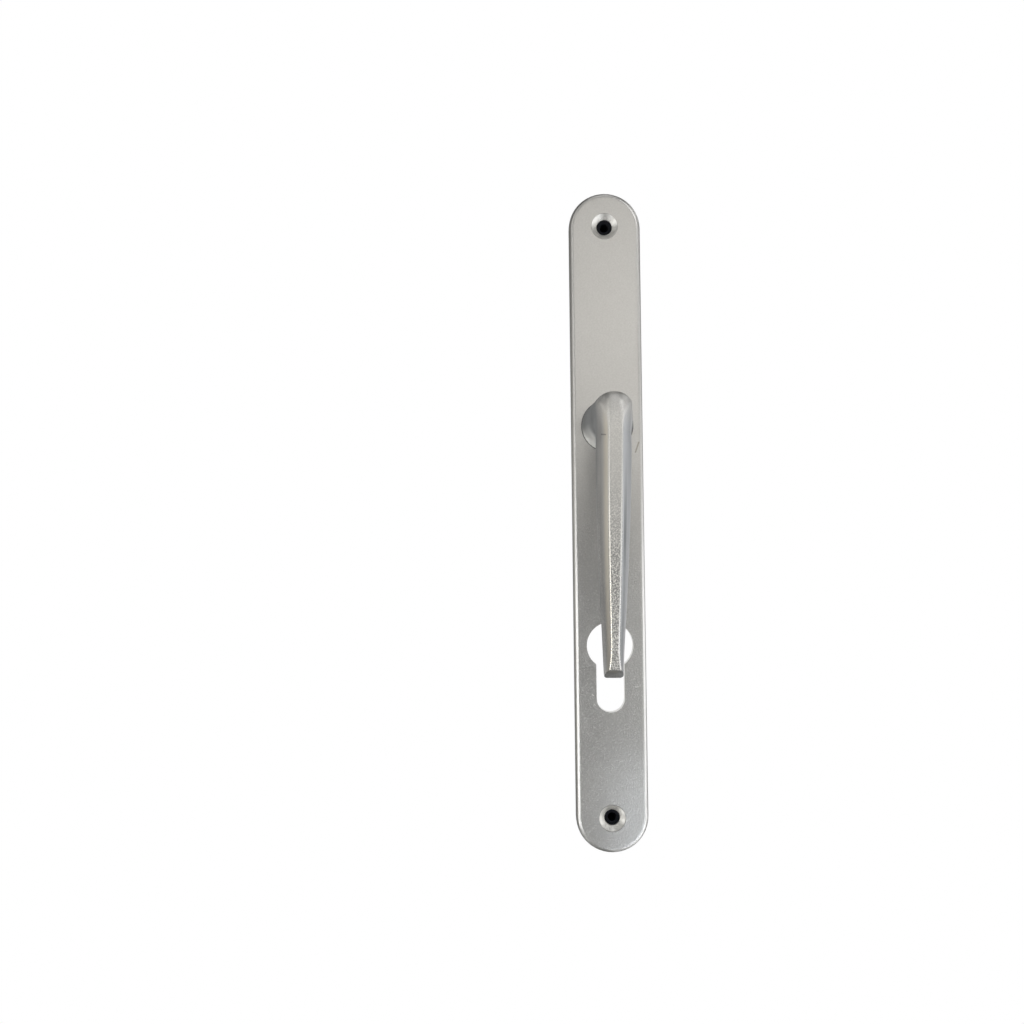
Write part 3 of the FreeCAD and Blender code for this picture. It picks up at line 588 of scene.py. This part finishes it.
# The rim of the end face is broken by a fine edge, and its two rear corners are round.
end_rim = rings.pop()
facing = Vector((0, -math.sin(end_slant), -math.cos(end_slant)))
middle = sum(end_rim, Vector()) / len(end_rim)
for rise, inset in end_edge:
    rings.append([p.lerp(middle, inset / (p - middle).length) - rise * facing for p in end_rim])
end_level = end_trim - grip_end - tip_depth * math.tan(end_slant)
flat_half, round_level = tip_wide / 2 - end_round, end_level + end_round
for ring in rings[-end_rings:]:
    for p in ring:
        aside, below = abs(p.x) - flat_half, round_level - p.z
        excess = math.hypot(aside, below) / end_round
        if aside > 0 and below > 0 and excess > 1:
            p.x = math.copysign(flat_half + aside / excess, p.x)
            p.z = round_level - below / excess
        p.z = max(p.z, end_level)


def shell(name, rings):
    """A closed mesh through rings of points, with its two ends filled."""
    mesh = bmesh.new()
    loops = [[mesh.verts.new(p) for p in ring] for ring in rings]
    for first, second in zip(loops, loops[1:]):
        for i in range(len(first)):
            j = (i + 1) % len(first)
            mesh.faces.new((first[i], first[j], second[j], second[i]))
    mesh.faces.new(loops[0])
    mesh.faces.new(loops[-1])
    bmesh.ops.recalc_face_normals(mesh, faces=mesh.faces)
    data = bpy.data.meshes.new(name)
    mesh.to_mesh(data)
    mesh.free()
    made = bpy.data.objects.new(name, data)
    scene.collection.objects.link(made)
    return made


def turned_ring(radius, level, count=96):
    """A circle round the pivot's axis."""
    angles = [2 * math.pi * (i + 0.5) / count for i in range(count)]
    return [Vector((radius * math.sin(a), level, radius * math.cos(a))) for a in angles]


def square_ring(half, level):
    """A square round the pivot's axis."""
    corners = ((-half, -half), (half, -half), (half, half), (-half, half))
    return [Vector((x, level, z)) for x, z in corners]


def drilled_ring(radius, level, height, count=48):
    """A circle round the grub screw's upright axis."""
    angles = [2 * math.pi * i / count for i in range(count)]
    return [
        Vector((radius * math.cos(a), level + radius * math.sin(a), height)) for a in angles
    ]


# The journal with the groove of its ring is joined on, and the two holes are cut out.
journal_steps = (
    (journal_radius, journal_start), (journal_radius, groove_start),
    (groove_radius, groove_start), (groove_radius, groove_end), (journal_radius, groove_end),
    (journal_radius, journal_end - journal_chamfer),
    (journal_radius - journal_chamfer, journal_end),
)
casting = shell("casting", rings)
journal = shell("journal", [turned_ring(radius, level) for radius, level in journal_steps])
socket = shell("socket", [square_ring(socket_half, y) for y in (socket_start, socket_end)])
grub_hole = shell(
    "grub_hole", [drilled_ring(grub_radius, grub_level, z) for z in (grub_start, grub_end)]
)
for tool, operation in ((journal, "UNION"), (socket, "DIFFERENCE"), (grub_hole, "DIFFERENCE")):
    cut = casting.modifiers.new(tool.name, "BOOLEAN")
    cut.operation = operation
    cut.solver = "EXACT"
    cut.object = tool
lever_data = plain_copy(casting)
mesh = bmesh.new()
mesh.from_mesh(lever_data)
shade_round(mesh, merge_within=1e-7)
mesh.to_mesh(lever_data)
mesh.free()

# Each point keeps how far hands have rubbed it. Then the lever is hung in its place.
rubbed_places = {
    tuple(round(c, 3) for c in rings[i][k]): rubs[i]
    for i in range(len(rubs)) for k in rubbed_points
}
rub = lever_data.attributes.new("rub", "FLOAT", "POINT")
for vertex, value in zip(lever_data.vertices, rub.data):
    value.value = rubbed_places.get(tuple(round(c, 3) for c in vertex.co), 0.0)
placed = Matrix.Translation((0, 0, pivot_height / 1000)) @ Matrix.Rotation(hang, 4, "Y")
lever_data.transform(placed @ Matrix.Scale(0.001, 4))
for tool in (casting, journal, socket, grub_hole):
    bpy.data.objects.remove(tool)
lever = bpy.data.objects.new("lever_casting", lever_data)
scene.collection.objects.link(lever)

# Its tones, each a darkest and a lightest, or one.
rubbed_and_lit_tones = ((0.61, 0.60, 0.575), (0.67, 0.66, 0.635))
dull_and_shaded_tones = ((0.32, 0.325, 0.325), (0.36, 0.365, 0.365))
cool_reflection_tones = ((0.60, 0.61, 0.63), (0.71, 0.72, 0.74))
grey_shade_tone, beige_light_tone = (0.52, 0.515, 0.50), (0.62, 0.585, 0.515)
rubbed_and_lit_face_tone, dark_band_tone = (0.76, 0.75, 0.72), (0.30, 0.305, 0.31)
pit_tone, glint_tone = (0.28, 0.275, 0.27), (0.97, 0.95, 0.90)
right_edge_tone, left_edge_tone = (0.94, 0.94, 0.93), (0.95, 0.92, 0.82)
neck_highlight_tone, nick_tone, end_shade_tone = (0.97, 0.97, 0.94), (0.12, 0.12, 0.12), (0.25, 0.25, 0.25)

# Where they lie, in metres out from the plate's back or up from its middle, and the nick.
face_zone, grey_shade_zone, beige_light_zone = (0.0508, 0.0517), (0.0445, 0.0465), (0.0475, 0.0498)
elbow_zone, flank_top, rubbed_and_lit_face_zone = (0.030, 0.040), (0.040, 0.030), (-0.020, -0.040)
nick = ((-0.0048, -0.0470, 0.0287), (-0.0034, -0.0500, 0.0283))


def cast_aluminium():
    """Blasted cast aluminium under clear lacquer, with a coarse sparkle.

    The sparkle grows towards the end, where the hand has rubbed the grip. The edges of
    the face are worn bright. The neck and the back are rougher and painted darker, as painted
    shade, and lit parts of the front, the flanks and the neck are painted lighter, as painted
    light.
    """
    metal = Finish("cast_aluminium")
    grain = metal.noise(0.0005, roughness=0.6)
    cloud = metal.noise(0.02)
    clouded = cloud.band(0.3, 0.7)
    across, up, front = metal.axis("X"), metal.axis("Z"), -metal.axis("Y")
    left, right = across.band(0.0, -0.001), across.band(0.0, 0.001)
    face = front.band(*face_zone)
    edge = metal.node("ShaderNodeAttribute", {}, output="Fac", attribute_name="rub")

    # Where hands rub and light falls, painted lighter: the front of the lever, less far back on
    # its shaded left but for mid height, and the lit right side of the neck, as painted light.
    lit_left_middle = up.band(0.025, 0.0) * up.band(-0.030, -0.010)
    rubbed_and_lit = (front - 0.0045 * left * (1.0 - 0.7 * lit_left_middle)).band(0.036, 0.043)
    lit_neck_side = front.band(0.010, 0.030) * across.band(0.003, 0.006)
    rubbed_and_lit = rubbed_and_lit.at_least(lit_neck_side)

    # The sparkle: dark pits and bright glints, which grow towards the end of the grip.
    sparkle = grain.band(0.40, 0.56)
    held = up.band(0.020, -0.030)
    strength = (0.18 + 0.82 * held) * (0.5 + 0.5 * face) * (1.0 - 0.9 * edge)
    worn_and_lit = metal.blend(clouded, *rubbed_and_lit_tones)
    # The lower face is painted lighter, partly as rubbed metal and partly as painted light.
    worn_and_lit = metal.blend(face * up.band(*rubbed_and_lit_face_zone), worn_and_lit, rubbed_and_lit_face_tone)
    worn_and_lit = metal.blend(0.8 * strength * (1.0 - sparkle), worn_and_lit, pit_tone)
    worn_and_lit = metal.blend(0.9 * strength * grain.band(0.52, 0.64), worn_and_lit, glint_tone)

    # The flanks, in painted light and shade: a grey band of painted shade and a beige band of
    # warm painted light on the left, a cool painted reflection on the right, darker at the top,
    # and a dark band of painted shade behind the right edge of the face.
    flank = (1.0 - face) * up.band(*flank_top)
    worn_and_lit = metal.blend(0.6 * left * flank * front.band(*grey_shade_zone), worn_and_lit, grey_shade_tone)
    worn_and_lit = metal.blend(left * flank * front.band(*beige_light_zone), worn_and_lit, beige_light_tone)
    cool_reflection = metal.blend(up.band(0.030, 0.0), *cool_reflection_tones)
    worn_and_lit = metal.blend(0.7 * right * flank, worn_and_lit, cool_reflection)
    dark_band = front.band(0.0475, 0.0483) * front.band(0.0507, 0.0500)
    dark_band = dark_band * up.band(0.028, -0.010) * (0.95 - 0.5 * up.band(-0.005, -0.025))
    worn_and_lit = metal.blend(right * dark_band, worn_and_lit, dark_band_tone)

    # The neck and the back are rougher and painted darker, as painted shade, but for a
    # painted highlight low on the neck's left side.
    dull_and_shaded = metal.blend(clouded, *dull_and_shaded_tones)
    under = left * up.band(0.036, 0.030) * front.band(0.030, 0.020)
    dull_and_shaded = metal.blend(under, dull_and_shaded, neck_highlight_tone)
    colour = metal.blend(rubbed_and_lit, dull_and_shaded, worn_and_lit)

    # The bright worn edges of the face, the nick in the elbow, and the end face painted
    # darker, as painted shade.
    bright = metal.blend(left, right_edge_tone, left_edge_tone)
    colour = metal.blend(edge * (0.95 - 0.25 * right * (1.0 - sparkle)), colour, bright)
    colour = metal.blend(0.6 * metal.mark(*nick, 0.0004), colour, nick_tone)
    slanted = up + math.tan(end_slant) * (metal.axis("Y") - grip_front / 1000)
    end_shade = slanted.band(-0.0540, -0.0543)
    colour = metal.blend(0.45 * end_shade, colour, end_shade_tone)

    # The gloss of it all: smoother on the rubbed and lit front, and duller on the elbow.
    elbow = up.band(*elbow_zone)
    polish = 0.52 - 0.18 * rubbed_and_lit + 0.16 * elbow + 0.08 * (cloud - 0.5) - 0.08 * edge
    return metal.surface(
        base_color=colour, metallic=1.0, roughness=polish,
        normal=metal.bump(grain * strength, 0.00013), specular_tint=(0.8, 0.8, 0.8, 1.0),
    )


lever.data.materials.append(cast_aluminium())
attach(lever, "lever")
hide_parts("lever")


# Bearing: a black plastic bush, pressed into the plate. Behind it a thrust washer, a
# spring washer and an open ring in the journal's groove keep the lever on the plate.
def moulded_plastic(name, colour, gloss=0.5):
    """Moulded plastic with a fine spark-eroded grain."""
    plastic = Finish(name)
    grain = plastic.noise(0.0005, detail=3.0)
    shade = plastic.blend(grain, tuple(0.8 * c for c in colour), tuple(1.2 * c for c in colour))
    return plastic.surface(
        base_color=shade, roughness=0.42 + 0.2 * (grain - 0.5),
        normal=plastic.bump(grain, 0.00002, 0.5), specular_ior_level=gloss,
    )


def turned_steel(name, colour, roughness):
    """Bright steel with the fine lines of its rolling or drawing."""
    steel = Finish(name)
    lines = steel.noise(0.0002, detail=3.0, stretch=(1, 0.05, 1))
    shade = steel.blend(lines, tuple(0.85 * c for c in colour), colour)
    return steel.surface(
        base_color=shade, metallic=1.0, roughness=roughness + 0.15 * (lines - 0.5),
        normal=steel.bump(lines, 0.00001, 0.5),
    )


bush_plastic = moulded_plastic("bush_plastic_finish", (0.15, 0.15, 0.15))
bright_steel = turned_steel("bright_steel", (0.55, 0.55, 0.54), 0.3)
spring_steel = turned_steel("blued_steel", (0.18, 0.17, 0.17), 0.35)
dress("neck_bush", "plate", bush_plastic)
dress("thrust_washer", "plate", bright_steel)
dress("spring_washer", "lever", spring_steel)
dress("retaining_ring", "lever", spring_steel)

# Spindle: a square bar of drawn steel that turns the lock's follower. It stands in the
# lever's socket, and a grub screw of hard steel in the neck holds it.
dress("spindle", "lever", bright_steel)
dress("grub_screw", "lever", spring_steel)

# Screw dowels: two slit dowels of nearly black moulded plastic, seated in the back of the
# plate behind its screw holes, where they stand in for the shade deep in the holes: painted
# shade.
shade_black_dowel_plastic = moulded_plastic("shade_black_dowel_finish", (0.006, 0.007, 0.010), gloss=0.1)
dress("upper_screw_dowel", "plate", shade_black_dowel_plastic)
dress("lower_screw_dowel", "plate", shade_black_dowel_plastic)
